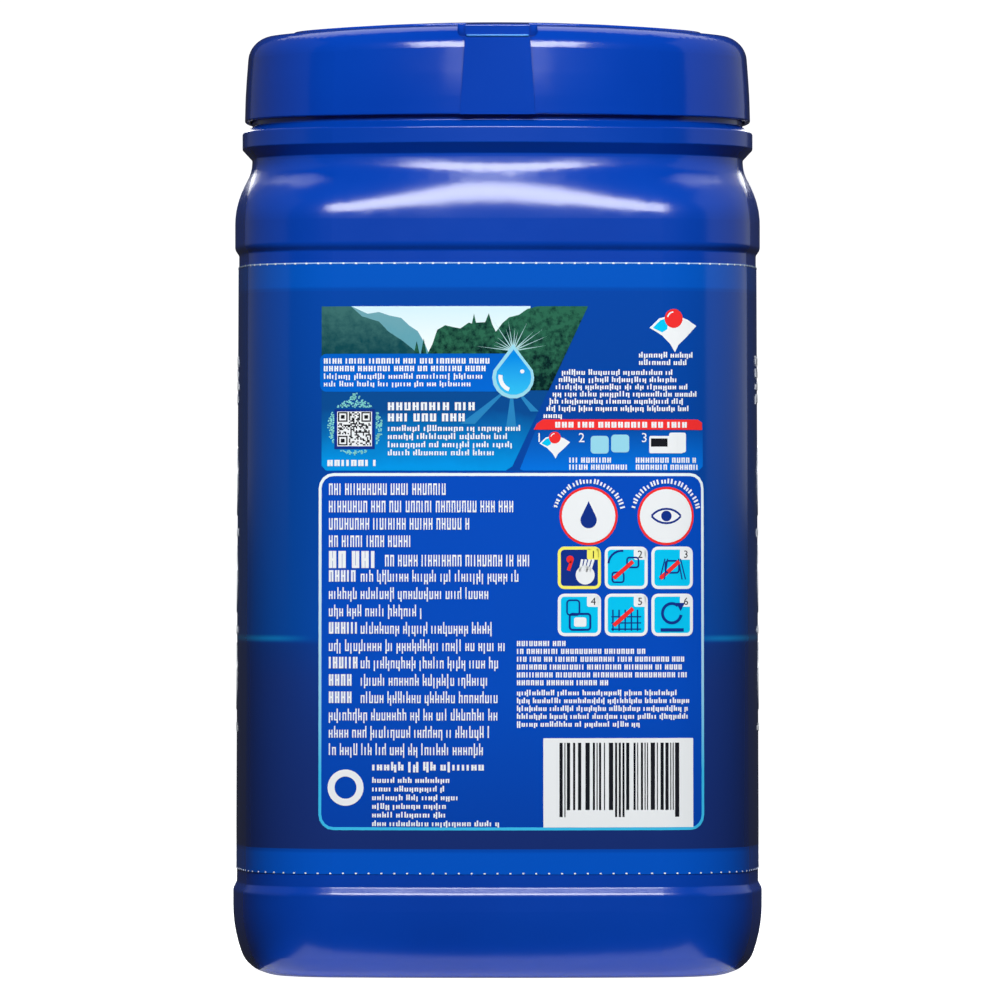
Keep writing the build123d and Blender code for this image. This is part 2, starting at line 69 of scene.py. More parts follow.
class Wire:
    """A shader socket that adds Math nodes when it is used in a sum."""

    def __init__(self, finish, socket):
        self.finish = finish
        self.socket = socket

    def sum(self, operation, *values):
        return self.finish.node("ShaderNodeMath", {"operation": operation}, dict(enumerate(values)))

    def __add__(self, other):
        return self.sum("ADD", self, other)

    def __sub__(self, other):
        return self.sum("SUBTRACT", self, other)

    def __mul__(self, other):
        return self.sum("MULTIPLY", self, other)

    def __radd__(self, other):
        return self.sum("ADD", other, self)

    def __rsub__(self, other):
        return self.sum("SUBTRACT", other, self)

    def __rmul__(self, other):
        return self.sum("MULTIPLY", other, self)

    def __abs__(self):
        return self.sum("ABSOLUTE", self)

    def over(self, edge, soft):
        """0 below edge, 1 above it, turning over the width soft."""
        return self.finish.node("ShaderNodeMapRange", {"interpolation_type": "SMOOTHSTEP"}, {
            "Value": self, "From Min": edge - soft / 2, "From Max": edge + soft / 2})

    def under(self, edge, soft):
        return 1 - self.over(edge, soft)

    def near(self, centre, reach):
        """1 at the centre, falling to 0 at the reach on both sides."""
        return abs(self - centre).under(reach / 2, reach)


class Finish:
    """One material: a Principled shader and the nodes that feed it."""

    def __init__(self, name, **constants):
        self.material = bpy.data.materials.new(name)
        self.material.use_nodes = True
        self.tree = self.material.node_tree
        self.shader = self.tree.nodes["Principled BSDF"]
        for key, value in constants.items():
            self.shader.inputs[key.replace("_", " ")].default_value = value

    def node(self, kind, settings, sockets, output=0):
        made = self.tree.nodes.new(kind)
        for key, value in settings.items():
            if key == "stops":
                ramp = made.color_ramp
                while len(ramp.elements) < len(value):
                    ramp.elements.new(0.5)
                for element, (place, colour) in zip(ramp.elements, value):
                    element.position = place
                    element.color = (*colour, 1.0)
            else:
                setattr(made, key, value)
        for key, value in sockets.items():
            if isinstance(value, Wire):
                self.tree.links.new(value.socket, made.inputs[key])
            else:
                made.inputs[key].default_value = value
        return Wire(self, made.outputs[output])

    def point(self):
        return self.node("ShaderNodeTexCoord", {}, {}, "Object")

    def place(self):
        """The three coordinates of a surface point, in metres."""
        point = self.point()
        return [self.node("ShaderNodeSeparateXYZ", {}, {0: point}, axis) for axis in range(3)]

    def stretched(self, x, y, z):
        """The surface point with its three coordinates multiplied."""
        return self.node("ShaderNodeVectorMath", {"operation": "MULTIPLY"}, {0: self.point(), 1: (x, y, z)})

    def noise(self, point, scale, detail=2.0, rough=0.5):
        return self.node("ShaderNodeTexNoise", {}, {
            "Vector": point, "Scale": scale, "Detail": detail, "Roughness": rough})

    def ramp(self, share, *stops):
        return self.node("ShaderNodeValToRGB", {"stops": stops}, {0: share})

    def mix(self, share, a, b):
        """Colour a where share is 0 and colour b where it is 1."""
        made = self.tree.nodes.new("ShaderNodeMix")
        made.data_type = "RGBA"
        for index, value in ((0, share), (6, a), (7, b)):
            if isinstance(value, Wire):
                self.tree.links.new(value.socket, made.inputs[index])
            elif index == 0:
                made.inputs[0].default_value = value
            else:
                made.inputs[index].default_value = (*value, 1.0)
        return Wire(self, made.outputs[2])

    def bump(self, height, distance, normal=None):
        """A bump whose distance is in metres, over another bump if given."""
        sockets = {"Height": height, "Distance": distance, "Strength": 1.0}
        if normal is not None:
            sockets["Normal"] = normal
        return self.node("ShaderNodeBump", {}, sockets)

    def feed(self, **wires):
        for key, value in wires.items():
            self.tree.links.new(value.socket, self.shader.inputs[key.replace("_", " ")])
        return self

    def onto(self, thing):
        thing.data.materials.clear()
        thing.data.materials.append(self.material)
        return self


def moulded(name, deep, bright, peel, wave, rough, seam=0.0, index=1.5):
    """Glossy moulded blue plastic with orange peel and slow wall waves."""
    made = Finish(name, IOR=index)
    point = made.point()
    slow = made.noise(point, 55.0, 2.0)
    fine = made.noise(point, 1100.0, 1.0)
    cloud = made.noise(point, 22.0, 3.0)
    tint = made.mix(cloud.over(0.5, 0.5), deep, bright)
    surface = made.bump(fine, peel, made.bump(slow, wave))
    if seam:
        y = made.place()[1]
        surface = made.bump(y.near(0.0, 0.0003), seam, surface)
    made.feed(Base_Color=tint, Normal=surface, Roughness=rough + 0.05 * cloud)
    return made


jar = frame["nodes"]["jar"]
moulded("jar_plastic", (0.0005, 0.040, 0.345), (0.0006, 0.047, 0.385), peel=0.000008, wave=0.00022, rough=0.19,
        seam=0.00006, index=1.55).onto(jar)

# ---------------------------------------------------------------- label sleeve
# Printed shrink film round the recessed panel: bright blue bands along both
# perforated edges, a deep blue field between them with a thin flare of light
# across it. The film hugs the panel, so its gloss carries slow ripples.
sleeve = frame["nodes"]["label_sleeve"]
sleeve_low, sleeve_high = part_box("label_sleeve")
FIELD_LOW = 0.0315
FIELD_HIGH = 0.1668
FLARE = 0.0825


def film(name, **constants):
    """Clear glossy film over ink, rippled where it shrank onto the panel."""
    made = Finish(name, IOR=1.5, Roughness=0.16, **constants)
    ripple = made.noise(made.stretched(1.0, 1.0, 0.35), 45.0, 2.0)
    grain = made.noise(made.point(), 900.0, 1.0)
    made.feed(Normal=made.bump(grain, 0.000004, made.bump(ripple, 0.00018)))
    return made


printed = film("label_film")
x, y, z = printed.place()
share = (z - FIELD_LOW) * (1 / (FIELD_HIGH - FIELD_LOW))
field = printed.ramp(share, (0.0, (0.0085, 0.027, 0.160)), (0.30, (0.0080, 0.033, 0.195)),
                     (0.366, (0.0050, 0.036, 0.215)), (0.376, (0.0016, 0.060, 0.330)), (0.75, (0.0014, 0.055, 0.325)),
                     (1.0, (0.0012, 0.056, 0.360)))
middle = abs(x).under(0.040, 0.030) * y.under(0.0, 0.01)
field = printed.mix(middle * z.near(0.092, 0.045) * 0.75, field, (0.0008, 0.066, 0.46))
flare = z.near(FLARE, 0.0011) * abs(x).over(0.050, 0.012)
field = printed.mix(flare * 0.8, field, (0.004, 0.22, 0.56))
inside = z.over(FIELD_LOW, 0.0002) * z.under(FIELD_HIGH, 0.0002)
band = printed.mix(z.over(0.1, 0.01), (0.0005, 0.084, 0.53), (0.0005, 0.085, 0.49))
fade = z.near(FIELD_HIGH + 0.0003, 0.0009) + z.near(FIELD_LOW - 0.0003, 0.0009)
band = printed.mix(fade * 0.35, band, (0.0004, 0.02, 0.2))
printed.feed(Base_Color=printed.mix(inside, band, field)).onto(sleeve)

# ---------------------------------------------------------------- label print
# The sleeve's artwork, one thin closed layer for each ink the press lays down.
# Reading matter is greeked: upright strokes in word-long groups, no letters.
# Lengths in this section are millimetres on the flat film, counted from the
# middle of the tub's back, until an ink is wrapped onto the panel.
MM = 0.001
TUB_HALF = 65.4
FACE_BOW = 300.0
SIDE_BOW = 160.0
CORNER = 26.0
ARC_STEPS = 160
PANEL_TAPER = 0.0039
WRAP_STEP = 2.0
INK_DEPTH = 0.03
INK_RISE = 0.05
LAYER_RISE = 0.014
draw = random.Random(5)


def panel_outline():
    """Arc length, points and outward normals round the sleeve's lower edge,
    from the middle of the back towards +X and once round. The bows are the
    radii at the tub's widest line, TUB_HALF from its middle."""
    a, b = sleeve_high.x / MM, -sleeve_low.y / MM
    face, side, corner = [radius - TUB_HALF + a for radius in (FACE_BOW, SIDE_BOW, CORNER)]
    face_centre, side_centre = Vector((0.0, b - face)), Vector((a - side, 0.0))
    across = side_centre - face_centre
    along = ((face - corner) ** 2 - (side - corner) ** 2 + across.length_squared) / (2 * across.length)
    rise = math.sqrt((face - corner) ** 2 - along ** 2)
    unit = across.normalized()
    centre = face_centre + unit * along + Vector((unit.y, -unit.x)) * rise
    turn_face = math.atan2(centre.x, (centre - face_centre).y)
    turn_side = math.atan2((centre - side_centre).x, centre.y)
    points, normals = [], []
    arcs = ((face_centre, face, 0.0, turn_face), (centre, corner, turn_face, turn_side),
            (side_centre, side, turn_side, math.pi / 2))
    for middle_point, radius, start, end in arcs:
        for angle in np.linspace(start, end, ARC_STEPS)[:-1]:
            normal = np.array((math.sin(angle), -math.cos(angle)))
            points.append(np.array((middle_point.x, -middle_point.y)) + radius * normal)
            normals.append(normal)
    quarter, facing = np.array(points), np.array(normals)
    flip_y, flip_x = np.array((1.0, -1.0)), np.array((-1.0, 1.0))
    half = np.concatenate([quarter, [(a, 0.0)], (quarter * flip_y)[::-1]])
    half_facing = np.concatenate([facing, [(1.0, 0.0)], (facing * flip_y)[::-1]])
    loop = np.concatenate([half, (half * flip_x)[::-1][1:]])
    loop_facing = np.concatenate([half_facing, (half_facing * flip_x)[::-1][1:]])
    length = np.concatenate([[0.0], np.cumsum(np.hypot(*np.diff(loop, axis=0).T))])
    return length, loop, loop_facing


arc_length, outline_points, outline_normals = panel_outline()
GIRTH = arc_length[-1]


def wrap(along, height, rise):
    """The place, in metres, of a point of the flat film on the panel."""
    s = along % GIRTH
    inset = PANEL_TAPER * (height - sleeve_low.z / MM)
    flat = [np.interp(s, arc_length, outline_points[:, i])
            + (rise - inset) * np.interp(s, arc_length, outline_normals[:, i]) for i in range(2)]
    return Vector((flat[0] * MM, flat[1] * MM, height * MM))


def solid(name, mesh):
    """A new object of the scene from a bmesh."""
    data = bpy.data.meshes.new(name)
    mesh.to_mesh(data)
    thing = bpy.data.objects.new(name, data)
    bpy.context.collection.objects.link(thing)
    return thing


class Ink:
    """One pass of the press: flat shapes laid as a thin layer on the film."""

    def __init__(self, name, layer):
        self.name = name
        self.rise = INK_RISE + LAYER_RISE * layer
        self.mesh = bmesh.new()

    def face(self, points):
        self.mesh.faces.new([self.mesh.verts.new((px, 0.0, pz)) for px, pz in points])

    def strip(self, first, second, closed=False):
        """Quads between two lines with the same number of points."""
        count = len(first)
        for i in range(count if closed else count - 1):
            j = (i + 1) % count
            self.face((first[i], first[j], second[j], second[i]))

    def box(self, x0, z0, x1, z1, corner=0.0):
        self.face(rounded(x0, z0, x1, z1, corner))

    def frame(self, x0, z0, x1, z1, corner, line):
        self.strip(rounded(x0, z0, x1, z1, corner),
                   rounded(x0 + line, z0 + line, x1 - line, z1 - line, corner - line), True)

    def ring(self, x, z, outer, inner, start=0, end=360):
        turns = [math.radians(a) for a in np.linspace(start, end, 1 + abs(end - start) // 12)]
        self.strip([(x + outer * math.cos(t), z + outer * math.sin(t)) for t in turns],
                   [(x + inner * math.cos(t), z + inner * math.sin(t)) for t in turns])

    def disc(self, x, z, radius):
        turns = [math.radians(a) for a in np.linspace(0, 360, 24 + 2 * int(radius), endpoint=False)]
        self.face([(x + radius * math.cos(t), z + radius * math.sin(t)) for t in turns])

    def bar(self, x0, z0, x1, z1, width):
        """A straight bar between two points."""
        reach = math.hypot(x1 - x0, z1 - z0)
        dx, dz = -(z1 - z0) / reach * width / 2, (x1 - x0) / reach * width / 2
        self.face(((x0 - dx, z0 - dz), (x1 - dx, z1 - dz), (x1 + dx, z1 + dz), (x0 + dx, z0 + dz)))

    def drop(self, x, z, radius, height):
        """A water drop: a round bottom drawn up to a point."""
        turns = [math.radians(a) for a in range(-200, 21, 20)]
        self.face([(x + radius * math.cos(t), z + radius * math.sin(t)) for t in turns] + [(x, z + height)])

    def lines(self, x0, x1, z, height, pitch, weight, tall=False):
        """A line of greeked print that fills the height above z."""
        at, base, body = x0, z, height * (0.96 if tall else 0.66)
        while at < x1:
            for letter in range(draw.choice((2, 3, 4, 5, 6, 7, 8, 9))):
                strokes = draw.choice((1, 2, 2, 2))
                wide = pitch * (0.5 if strokes == 2 else 0.12) + weight
                if at + wide < x1:
                    for stroke in range(strokes):
                        left = at + stroke * (wide - weight)
                        reach = draw.choice((0.0, 0.0, 0.0, 0.32)) * height * (not tall)
                        drop = draw.choice((0.0, 0.0, 0.0, 0.0, 0.0, 0.0, 0.22)) * height * (not tall)
                        self.box(left, base - drop, left + weight, base + body + reach)
                    if strokes == 2:
                        bar = base + body * draw.choice((0.0, 0.42, 0.42, 0.84))
                        self.box(at + weight, bar, at + wide - weight, bar + body * 0.16)
                at += wide + pitch * 0.28
            at += pitch * 0.5

    def number(self, text, x, z, size):
        """A plain number, its lower left corner at the point."""
        curve = bpy.data.curves.new("number", "FONT")
        curve.body = text
        curve.size = size
        curve.resolution_u = 2
        thing = bpy.data.objects.new("number", curve)
        bpy.context.collection.objects.link(thing)
        flat = bpy.data.meshes.new_from_object(thing)
        for polygon in flat.polygons:
            corners = [flat.vertices[i].co for i in polygon.vertices]
            self.face([(x + corner.x, z + corner.y) for corner in corners])
        bpy.data.objects.remove(thing)
        bpy.data.meshes.remove(flat)

    def lay(self, finish):
        """Wrap the shapes onto the panel as closed prisms."""
        mesh = self.mesh
        bmesh.ops.remove_doubles(mesh, verts=mesh.verts, dist=0.0002)
        lows = min(vert.co.x for vert in mesh.verts)
        highs = max(vert.co.x for vert in mesh.verts)
        for cut in np.arange(math.floor(lows / WRAP_STEP) * WRAP_STEP, highs, WRAP_STEP):
            bmesh.ops.bisect_plane(mesh, geom=mesh.verts[:] + mesh.edges[:] + mesh.faces[:], dist=0.0001,
                                   plane_co=(float(cut), 0.0, 0.0), plane_no=(1.0, 0.0, 0.0))
        for face in mesh.faces:
            if face.normal.y > 0:
                face.normal_flip()
        under = mesh.verts[:]
        top = bmesh.ops.extrude_face_region(mesh, geom=mesh.faces[:], use_keep_orig=True)["geom"]
        upper = {item for item in top if isinstance(item, bmesh.types.BMVert)}
        for vert in under:
            vert.co = wrap(vert.co.x, vert.co.z, -INK_DEPTH)
        for vert in upper:
            vert.co = wrap(vert.co.x, vert.co.z, self.rise)
        bmesh.ops.recalc_face_normals(mesh, faces=mesh.faces[:])
        for face in mesh.faces:
            face.smooth = upper.issuperset(face.verts)
        for edge in mesh.edges:
            edge.smooth = len({face.smooth for face in edge.link_faces}) == 1
        thing = solid(self.name, mesh)
        finish.onto(thing)
        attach(thing, "tub")


def rounded(x0, z0, x1, z1, corner):
    """The corners of a box, rounded."""
    if corner <= 0:
        return [(x0, z0), (x1, z0), (x1, z1), (x0, z1)]
    points = []
    for cx, cz, start in ((x1 - corner, z0 + corner, -90), (x1 - corner, z1 - corner, 0),
                          (x0 + corner, z1 - corner, 90), (x0 + corner, z0 + corner, 180)):
        turns = [math.radians(start + step) for step in (0, 22, 45, 68, 90)]
        points += [(cx + corner * math.cos(t), cz + corner * math.sin(t)) for t in turns]
    return points


def ink_finish(name, colour):
    return film(name, Base_Color=(*colour, 1.0))


def shaded_ink(name, low, high, z0, z1, grain=0.0, scale=300.0):
    """Ink that grades from one colour up to another, with a leafy grain."""
    made = film(name)
    z = made.place()[2]
    share = (z - z0 * MM) * (1 / ((z1 - z0) * MM))
    if grain:
        share = share + (made.noise(made.point(), scale, 3.0, 0.65) - 0.5) * grain
    return made.feed(Base_Color=made.ramp(share, (0.0, low), (1.0, high)))


WHITE = (0.83, 0.86, 0.88)
white_ink = ink_finish("ink_white", WHITE)
dark_ink = ink_finish("ink_dark", (0.010, 0.011, 0.016))
navy_ink = ink_finish("ink_navy", (0.006, 0.030, 0.24))
red_ink = ink_finish("ink_red", (0.84, 0.030, 0.030))
cyan_ink = ink_finish("ink_cyan", (0.0015, 0.54, 0.86))
pale_ink = ink_finish("ink_pale", (0.30, 0.66, 0.80))

# fields of colour: the box that holds the reading matter, the water and the
# steps panel, each a smooth grade of blue
fill = Ink("print_box_field", 0)
fill.box(-43.4, 36.3, 50.8, 122.3, 3.5)
fill.lay(shaded_ink("ink_box_field", (0.0011, 0.052, 0.39), (0.0012, 0.068, 0.49), 36.0, 70.0))

water = Ink("print_water", 0)
water.face(((-42.9, 152.0), (-42.9, 124.4), (-41.8, 123.2), (2.0, 123.2), (3.6, 124.2), (7.6, 132.7), (16.8, 152.0)))
water.lay(shaded_ink("ink_water", (0.0, 0.29, 0.76), (0.002, 0.066, 0.27), 124.0, 138.0, 0.5, 90.0))

steps = Ink("print_steps_field", 0)
steps.face(((5.4, 123.5), (6.2, 123.2), (49.6, 123.2), (50.8, 124.2), (50.8, 132.9), (9.2, 132.9)))
steps.lay(shaded_ink("ink_steps", (0.0006, 0.165, 0.72), (0.0015, 0.075, 0.38), 123.0, 133.0))

# a generic lakeside view: pale sky, two hills and a wooded shore
sky = Ink("print_sky", 1)
sky.face(((-37.0, 163.0), (-37.0, 151.0), (8.0, 151.0), (8.0, 163.0)))
sky.lay(shaded_ink("ink_sky", (0.86, 0.92, 0.92), (0.60, 0.82, 0.90), 152.0, 164.0))

far_hill = Ink("print_far_hill", 2)
far_hill.face(((-37.0, 163.0), (-35.5, 163.0), (-31.6, 161.2), (-28.8, 161.6), (-26.4, 160.8), (-23.4, 160.2),
               (-21.4, 158.3), (-19.4, 157.0), (-17.8, 154.3), (-16.4, 151.0), (-37.0, 151.0)))
far_hill.lay(shaded_ink("ink_far_hill", (0.10, 0.34, 0.42), (0.15, 0.36, 0.42), 151.0, 162.0, 0.9, 260.0))

near_hill = Ink("print_near_hill", 3)
near_hill.face(((-42.9, 163.0), (-35.6, 163.0), (-33.0, 160.6), (-28.8, 159.3), (-26.4, 156.8), (-23.4, 154.9),
                (-20.6, 152.7), (-19.0, 151.0), (-42.9, 151.0)))
near_hill.lay(shaded_ink("ink_near_hill", (0.004, 0.060, 0.075), (0.040, 0.145, 0.14), 151.0, 163.0, 1.6, 520.0))

wood = Ink("print_wood", 3)
wood.face(((-17.2, 151.0), (-15.8, 153.8), (-14.6, 157.3), (-12.7, 158.4), (-11.0, 158.0), (-9.0, 157.6), (-7.0, 159.0),
           (-6.2, 158.8), (-5.7, 161.2), (-5.2, 159.0), (-3.0, 159.1), (-2.1, 161.3), (-1.3, 158.6), (-0.4, 156.8),
           (1.2, 158.9), (2.8, 160.3), (5.2, 160.9), (7.2, 162.3), (9.8, 163.0), (22.0, 163.0), (12.4, 142.6),
           (7.5, 142.6), (6.0, 151.0)))
for left, tip in ((-20.4, 154.6), (-18.7, 155.2)):
    wood.face(((left, 151.0), (left + 0.8, tip), (left + 1.6, 151.0)))
wood.lay(shaded_ink("ink_wood", (0.0005, 0.018, 0.018), (0.022, 0.13, 0.075), 140.0, 164.0, 3.4, 620.0))

spray = Ink("print_spray", 4)
for turn in range(8, 190, 13):
    angle = math.radians(turn + draw.uniform(-4, 4))
    reach = draw.uniform(4.5, 9.5)
    half = math.radians(1.3)
    spray.face([(3.8 + out * math.cos(angle + shift), 152.2 + out * math.sin(angle + shift))
                for out, shift in ((1.0, -6 * half), (reach, 0.0), (1.0, 6 * half))])
spray.lay(ink_finish("ink_spray", (0.42, 0.66, 0.70)))
beams = Ink("print_beams", 2)
for left, right, low in ((-9.0, -5.5, 134.5), (2.0, 4.6, 133.0), (8.0, 10.0, 137.5)):
    beams.face(((3.5, 144.0), (left, low), (right, low)))
beams.lay(ink_finish("ink_beams", (0.02, 0.22, 0.50)))

callout = Ink("print_callout", 4)
callout.box(-43.3, 142.3, 3.4, 151.5, 1.6)
callout.lay(shaded_ink("ink_callout", (0.0, 0.13, 0.62), (0.0, 0.105, 0.52), 142.0, 152.0))

halo = Ink("print_halo", 5)
halo.drop(3.8, 145.7, 5.1, 8.1)
halo.lay(pale_ink)
drop = Ink("print_drop", 6)
drop.drop(3.9, 145.8, 4.3, 6.7)
drop.lay(shaded_ink("ink_drop", (0.03, 0.50, 0.86), (0.0, 0.24, 0.74), 141.5, 151.0))
shine = Ink("print_shine", 7)
shine.ring(3.9, 145.8, 3.7, 2.7, 170, 250)
shine.disc(6.0, 147.2, 0.5)

# a code-like square of random cells, in a drop of loose cells
cells = Ink("print_cells", 4)
for _ in range(1500):
    px, pz = draw.uniform(-6.7, 6.7), draw.uniform(-6.7, 8.6)
    in_bowl = math.hypot(px, pz) < 6.7
    in_tip = pz > 2.0 and abs(px) < 6.3 * (8.6 - pz) / 6.6
    if (in_bowl or in_tip) and not (-5.2 < px < 5.2 and -5.6 < pz < 4.8):
        cells.box(px - 34.8, pz + 133.6, px - 34.46, pz + 133.9)
cells.lay(ink_finish("ink_cells", (0.24, 0.70, 0.66)))

code_border = Ink("print_code_border", 4)
code_border.box(-39.7, 128.4, -29.8, 138.1)
code_border.lay(navy_ink)

plates = Ink("print_plates", 5)
plates.box(-39.0, 129.1, -30.5, 137.5)
code = Ink("print_code", 6)
CODE_CELLS = 24
cell = 8.1 / CODE_CELLS
for row in range(CODE_CELLS):
    for column in range(CODE_CELLS):
        eye = (row < 8 or row > 15) and (column < 8 or column > 15) and not (row < 8 and column > 15)
        if not eye and draw.random() < 0.5:
            left, low = -38.8 + column * cell, 129.3 + row * cell
            code.box(left, low, left + cell * 0.98, low + cell * 0.98)
for left, low in ((-38.8, 129.3), (-38.8, 135.03), (-33.07, 135.03)):
    code.frame(left, low, left + 2.35, low + 2.35, 0.0, 0.33)
    code.box(left + 0.72, low + 0.72, left + 1.63, low + 1.63)


def picture_tablet(centre_x, centre_z, size, layer):
    """A small picture of a tablet: white pillow, blue chamber, red ball."""
    def spot(px, pz):
        return centre_x + px * size, centre_z + pz * size
    name = "print_tablet_%d_%d" % (round(centre_x), round(centre_z))
    pillow = Ink(name + "_white", layer)
    pillow.face([spot(*p) for p in ((-6.0, 0.9), (-3.6, 3.2), (0.2, 4.2), (3.6, 2.9), (6.0, 1.4), (3.4, -1.2),
                                    (1.2, -3.2), (0.3, -5.0), (-0.9, -3.0), (-3.0, -0.9))])
    pillow.lay(white_ink)
    chamber = Ink(name + "_blue", layer + 1)
    chamber.face([spot(*p) for p in ((-5.2, 0.9), (-3.4, 2.7), (-1.4, 3.4), (-1.6, 0.6), (-2.9, -0.2))])
    chamber.lay(cyan_ink)
    ball = Ink(name + "_red", layer + 2)
    ball.disc(*spot(0.0, 3.2), 2.3 * size)
    ball.lay(red_ink)
    glint = Ink(name + "_glint", layer + 3)
    glint.ring(*spot(0.0, 3.2), 1.75 * size, 1.4 * size, 95, 167)
    glint.lay(white_ink)


picture_tablet(43.0, 156.9, 1.0, 1)
picture_tablet(13.9, 129.2, 0.62, 1)

# the red banner, two white discs and six small picture tiles
reds = Ink("print_reds", 2)
reds.face(((8.8, 133.1), (9.6, 134.6), (11.0, 135.6), (49.4, 135.6), (50.6, 134.8), (50.6, 133.1)))
DISCS = ((22.1, 112.2), (41.1, 112.2))
for px, pz in DISCS:
    plates.disc(px, pz, 6.5)
    reds.ring(px, pz, 7.1, 5.75)
TILE_WIDE, TILE_TALL, TILE_PITCH = 10.5, 10.3, 11.4
tile_fields = Ink("print_tile_fields", 3)
tile_rims = Ink("print_tile_rims", 4)
yellow_rim = Ink("print_yellow_rim", 4)
tile_marks = Ink("print_tile_marks", 6)
numbers = Ink("print_numbers", 6)
slashes = Ink("print_slashes", 7)
first_tile = Ink("print_first_tile", 3)
for index in range(6):
    left = 14.6 + TILE_PITCH * (index % 3)
    low = 94.5 - TILE_PITCH * (index // 3)
    right, top = left + TILE_WIDE, low + TILE_TALL
    (first_tile if index == 0 else tile_fields).box(left, low, right, top, 1.6)
    rim = yellow_rim if index == 0 else tile_rims
    rim.frame(left, low, right, top, 1.6, 0.75)
    rim.box(right - 3.4, top - 3.2, right - 0.4, top - 0.5, 0.5)
    numbers.number(str(index + 1), right - 2.5, top - 2.75, 2.6)
    if index in (1, 2, 4):
        slashes.bar(left + 2.2, low + 2.6, right - 3.6, top - 3.6, 1.0)
    middle_x, middle_z = left + TILE_WIDE / 2, low + TILE_TALL / 2
    if index == 0:
        plates.disc(middle_x + 1.4, low + 3.4, 2.3)
        for finger in range(4):
            plates.bar(middle_x + 0.1 + 0.8 * finger, low + 4.2, middle_x + 0.7 + 0.9 * finger, low + 7.2, 0.6)
        slashes.disc(left + 3.0, top - 3.1, 0.9)
        slashes.bar(left + 2.6, top - 5.8, left + 3.4, top - 3.4, 0.8)
    elif index == 1:
        for shift in (-2.0, 1.6):
            tile_marks.frame(middle_x + shift - 1.6, middle_z + shift - 1.7, middle_x + shift + 1.6,
                             middle_z + shift + 1.1, 0.8, 0.4)
        tile_marks.ring(middle_x - 1.0, middle_z + 0.8, 3.6, 3.1, 85, 175)
    elif index == 2:
        tile_marks.frame(middle_x - 2.0, middle_z - 1.4, middle_x + 1.8, middle_z + 1.9, 0.9, 0.4)
        for shift in (-3.2, -2.1, 2.4, 3.3):
            tile_marks.bar(middle_x + shift, middle_z - 2.8, middle_x + shift * 0.6, middle_z + 2.2, 0.3)
    elif index == 3:
        tile_marks.frame(middle_x - 2.6, low + 1.3, middle_x + 2.9, middle_z + 0.5, 0.9, 0.5)
        tile_marks.frame(middle_x - 3.2, middle_z - 0.2, middle_x + 0.2, top - 1.4, 0.9, 0.4)
        plates.box(middle_x - 1.3, low + 2.3, middle_x + 1.7, middle_z - 0.6, 0.5)
    elif index == 4:
        for shift in range(5):
            tile_marks.bar(left + 2.0 + 1.5 * shift, low + 1.3, left + 2.0 + 1.5 * shift, low + 6.4, 0.35)
        for shift in range(3):
            tile_marks.bar(left + 1.6, low + 1.7 + 1.5 * shift, right - 1.6, low + 1.7 + 1.5 * shift, 0.3)
    else:
        tile_marks.ring(middle_x - 0.2, middle_z + 0.4, 2.7, 2.0, 50, 350)
        tile_marks.face(((middle_x + 0.9, middle_z + 2.9), (middle_x + 3.1, middle_z + 2.9),
                         (middle_x + 2.0, middle_z + 0.9)))
        tile_marks.box(middle_x - 3.0, low + 1.1, middle_x + 2.8, low + 1.9)
tile_fields.lay(cyan_ink)
first_tile.lay(navy_ink)
tile_rims.lay(white_ink)
yellow_rim.lay(ink_finish("ink_yellow", (0.91, 0.86, 0.14)))
tile_marks.drop(22.1, 111.2, 2.0, 4.6)
for low_turn, high_turn, shift in ((40, 140, -3.0), (220, 320, 3.0)):
    tile_marks.ring(41.1, 112.2 + shift, 5.0, 4.5, low_turn, high_turn)
tile_marks.disc(41.1, 112.2, 1.3)
tile_marks.lay(navy_ink)
numbers.lay(dark_ink)
slashes.lay(red_ink)
reds.lay(red_ink)

# steps panel: a beaker pair and a small box
beakers = Ink("print_beakers", 3)
beakers.box(22.6, 127.3, 27.0, 131.6, 0.8)
beakers.box(27.6, 127.6, 32.0, 131.9, 0.8)
beakers.lay(pale_ink)
plates.box(36.9, 127.4, 45.4, 131.6, 0.4)
plates.box(41.8, 127.6, 46.1, 132.4, 0.5)
code.box(37.3, 129.0, 41.4, 131.0)

# barcode: a plate and bars of one to four modules drawn at random
plates.box(11.1, 36.8, 47.9, 58.4)
MODULE = 0.3
at = 15.0
count = 0
while at < 43.6:
    wide = MODULE * draw.choice((1, 1, 1, 2, 2, 3, 4))
    guard = count in (0, 1) or abs(at - 29.3) < 1.0 or at > 42.6
    code.box(at, 39.3 if guard else 41.0, at + wide * 0.88, 57.3)
    at += wide + MODULE * draw.choice((1, 1, 2, 2, 3))
    count += 1
plates.lay(white_ink)
code.lay(dark_ink)
shine.lay(white_ink)

# reading matter, in white over everything
text = Ink("print_reading_matter", 7)
for px, pz in DISCS:
    for turn in range(14, 168, 6):
        angle = math.radians(turn + draw.uniform(-1, 1))
        near, far = 7.9, draw.choice((8.8, 9.1))
        text.bar(px + near * math.cos(angle), pz + near * math.sin(angle),
                 px + far * math.cos(angle), pz + far * math.sin(angle), 0.42)
for row, end in enumerate((-1.2, -2.4, -2.9, -5.4)):
    text.lines(-42.3, end, 149.1 - 1.83 * row, 1.35, 1.18, 0.38 if row < 2 else 0.32, row < 2)
text.lines(-41.4, -29.2, 124.3, 1.55, 1.45, 0.6, True)
text.lines(-26.6, -4.0, 137.8, 2.0, 1.8, 0.6, True)
text.lines(-26.6, -7.4, 135.1, 2.0, 1.8, 0.6, True)
for row, end in enumerate((6.2, 3.0, 4.4, 0.4)):
    text.lines(-26.6, end, 132.8 - 1.97 * row, 1.45, 1.22, 0.34)
for row, end in enumerate((48.4, 48.0)):
    text.lines(34.4, end, 150.6 - 1.8 * row, 1.4, 1.12, 0.33)
